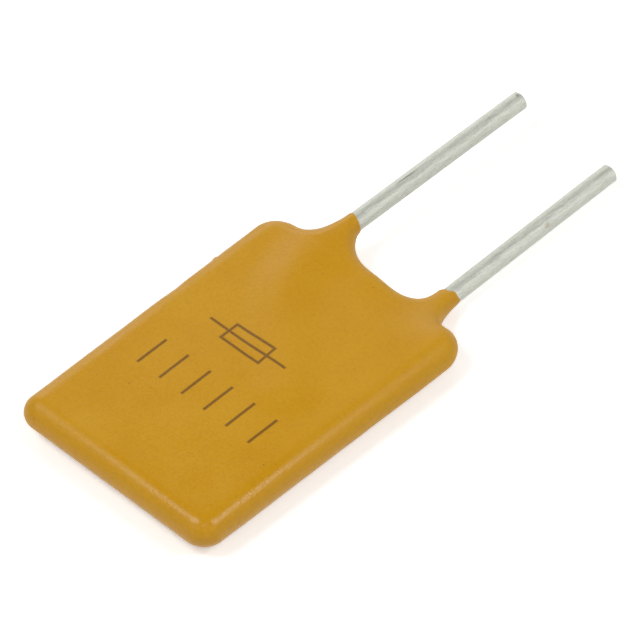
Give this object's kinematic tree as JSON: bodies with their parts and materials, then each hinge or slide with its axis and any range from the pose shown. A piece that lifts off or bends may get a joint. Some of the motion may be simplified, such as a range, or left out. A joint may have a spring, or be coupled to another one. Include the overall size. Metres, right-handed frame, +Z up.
{
  "type": "resettable fuse",
  "caption": "Radial-leaded resettable fuse: a flat epoxy-dipped body with rounded corners, and formed wire leads that leave one end through coated collars.",
  "frame": {"origin": "centre of the part's outline on the surface it lies on", "axes": "+Y along the leads toward their tips, +Z up from the surface, +X across the body"},
  "size_m": [0.011, 0.0275, 0.0023],
  "materials": {
    "epoxy": "satin",
    "tinned_wire": "satin",
    "chip": "matte",
    "foil": "matte",
    "solder": "satin"
  },
  "bodies": {
    "root": {"coating": "epoxy", "ptc_chip": "chip", "upper_foil": "foil", "lower_foil": "foil", "upper_solder": "solder", "lower_solder": "solder", "upper_lead": "tinned_wire", "lower_lead": "tinned_wire"}
  },
  "joints": []
}
